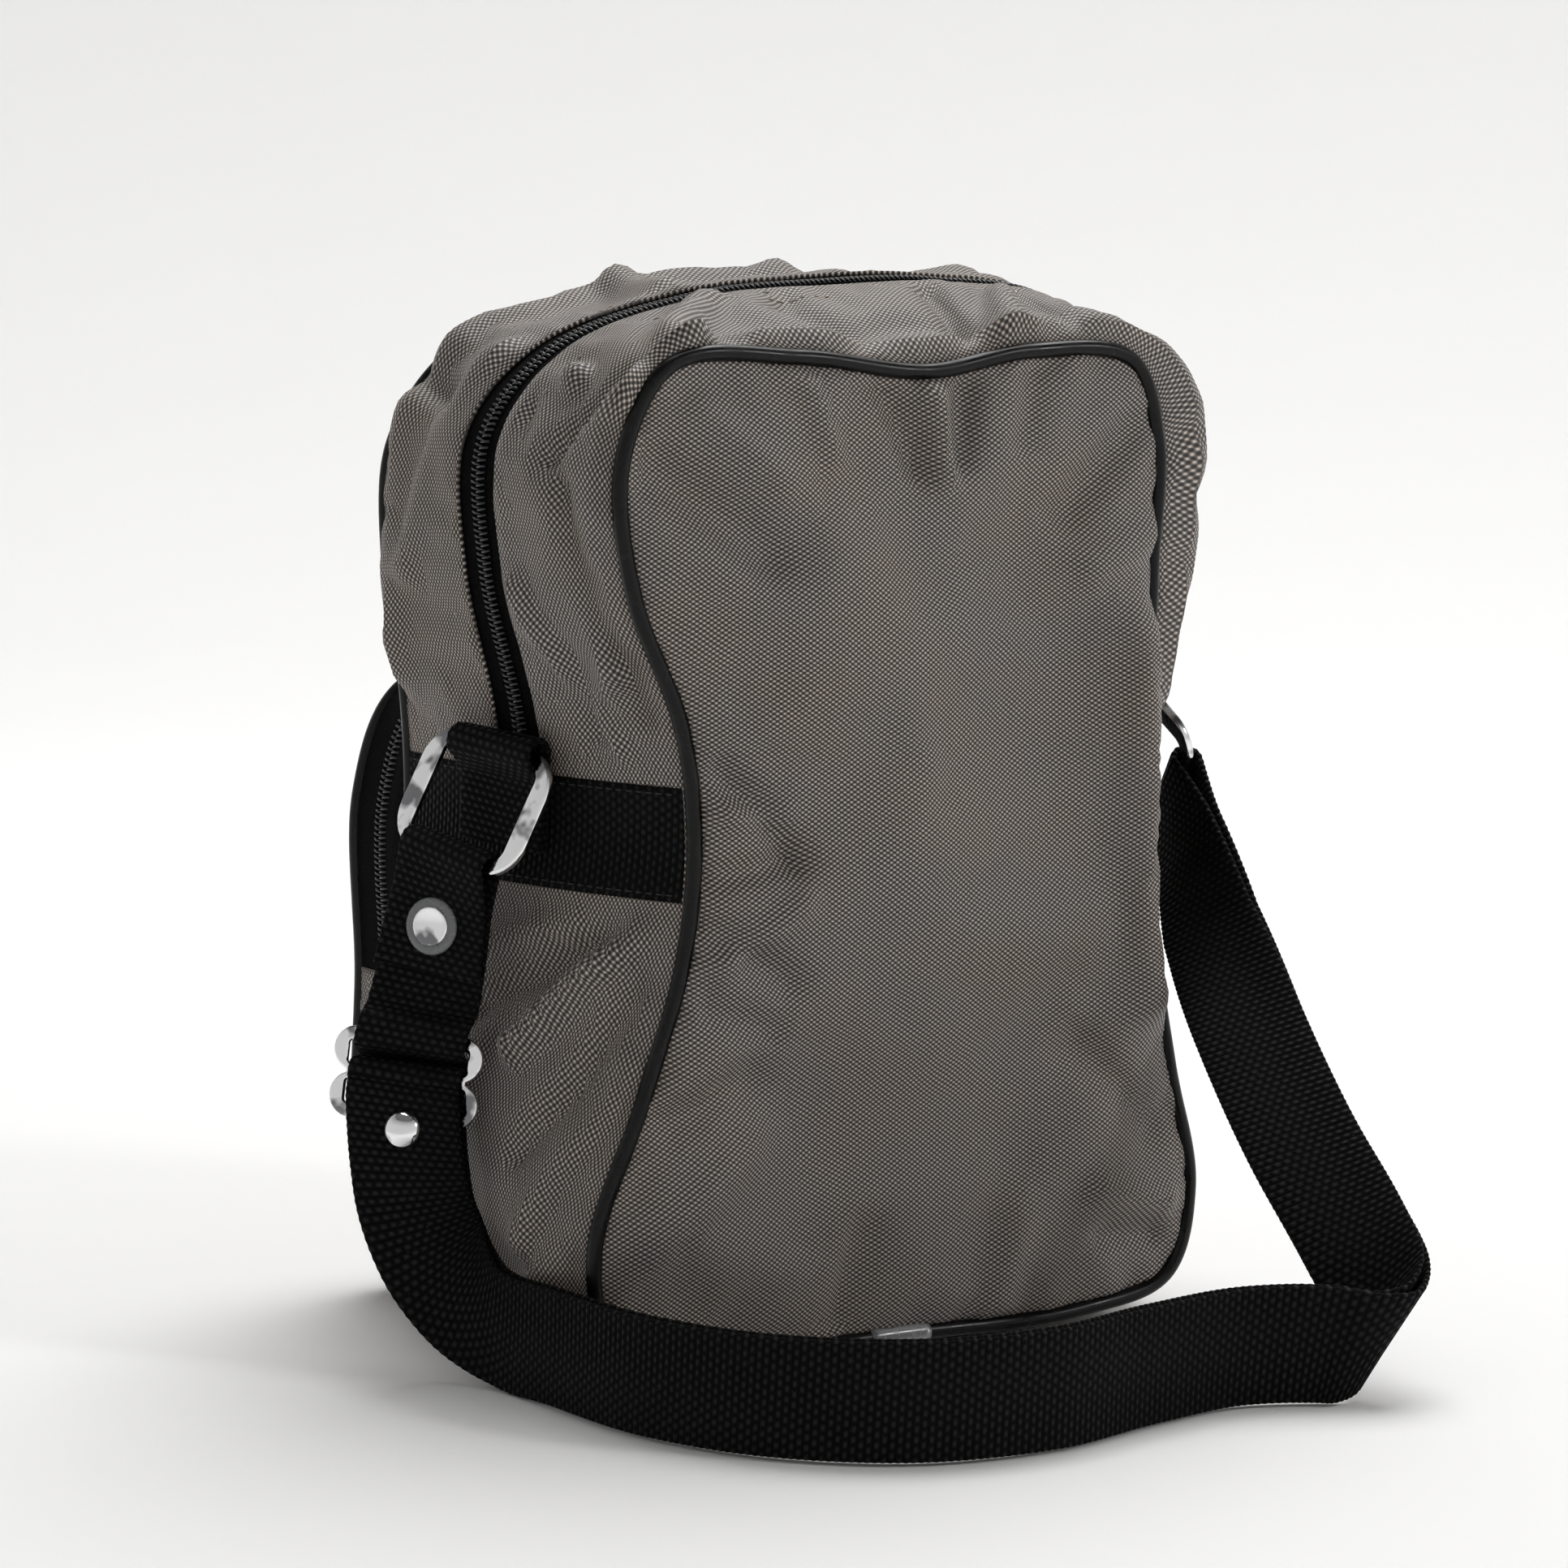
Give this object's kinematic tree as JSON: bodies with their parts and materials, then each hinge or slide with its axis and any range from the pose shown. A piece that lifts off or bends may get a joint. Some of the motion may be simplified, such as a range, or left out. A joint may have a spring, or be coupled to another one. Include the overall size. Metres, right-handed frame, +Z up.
{
  "type": "shoulder bag",
  "caption": "Small upright zipped shoulder bag with a zipped front pocket, webbing strap with adjuster, and rings on side tabs; strap lies on the floor.",
  "frame": {"origin": "on the floor under the middle of the bag's body, at the base", "axes": "+X across the back panel, +Y from the back panel towards the front pocket, +Z up"},
  "size_m": [0.2527, 0.2601, 0.2823],
  "materials": {
    "nylon": "taupe oxford nylon, fine basket weave with light dots",
    "webbing": "black ribbed polypropylene webbing",
    "zip_tape": "black felted zip tape",
    "zip_coil": "black nylon coil",
    "piping_vinyl": "smooth black vinyl piping",
    "smoke_plastic": "smoky translucent plastic",
    "chrome": "bright nickel plate"
  },
  "bodies": {
    "bag": {"back_panel": "nylon", "front_panel": "nylon", "gusset_top_rear": "nylon", "gusset_top_front": "nylon", "gusset_lower": "nylon", "piping_back": "piping_vinyl", "piping_back_joint": "smoke_plastic", "piping_front": "piping_vinyl", "piping_front_joint": "smoke_plastic", "main_zip_tape_rear": "zip_tape", "main_zip_tape_front": "zip_tape", "main_zip_coil": "zip_coil", "side_band_left": "webbing", "side_band_right": "webbing", "pocket_front_panel": "nylon", "pocket_piping": "piping_vinyl", "pocket_piping_joint": "smoke_plastic", "pocket_gusset_lower": "nylon", "pocket_zip_tape_rear": "zip_tape", "pocket_zip_tape_front": "zip_tape", "pocket_zip_coil": "zip_coil", "ring_tab_left": "webbing", "ring_tab_right": "webbing", "adjuster": "chrome", "adjuster_rivet": "chrome", "strap_rear_layer": "webbing", "strap_front_layer": "webbing"},
    "left_ring": {"ring_left": "chrome", "strap_left_end": "webbing", "end_washer_outer": "smoke_plastic", "end_washer_inner": "smoke_plastic", "end_rivet": "chrome"},
    "right_ring": {"ring_right": "chrome", "strap_right_end": "webbing"},
    "main_slider": {"main_zip_slider": "chrome"},
    "main_pull": {"main_zip_pull": "chrome"},
    "pocket_slider": {"pocket_zip_slider": "chrome"},
    "pocket_pull": {"pocket_zip_pull": "chrome"}
  },
  "joints": [
    {"name": "left_ring_swing", "type": "hinge", "parent": "bag", "child": "left_ring", "pos_m": [-0.089, -0.001, 0.1615], "axis": [-0.2879, 0.9418, 0.1736], "range_deg": [0, 20]},
    {"name": "right_ring_swing", "type": "hinge", "parent": "bag", "child": "right_ring", "pos_m": [0.108, 0.006, 0.158], "axis": [-0.2067, -0.6762, 0.7071], "range_deg": [0, 20]},
    {"name": "main_zip_slide", "type": "slide", "parent": "bag", "child": "main_slider", "axis": [0.1087, 0, 0.9941], "range_m": [0, 0.042]},
    {"name": "main_pull_swing", "type": "hinge", "parent": "main_slider", "child": "main_pull", "pos_m": [0.10405, 0, 0.19772], "axis": [0, -1, 0], "range_deg": [0, 165]},
    {"name": "pocket_zip_slide", "type": "slide", "parent": "bag", "child": "pocket_slider", "axis": [0.0209, 0, 0.9998], "range_m": [0, 0.033]},
    {"name": "pocket_pull_swing", "type": "hinge", "parent": "pocket_slider", "child": "pocket_pull", "pos_m": [0.0892, 0.074, 0.10001], "axis": [0, -1, 0], "range_deg": [0, 165]}
  ]
}
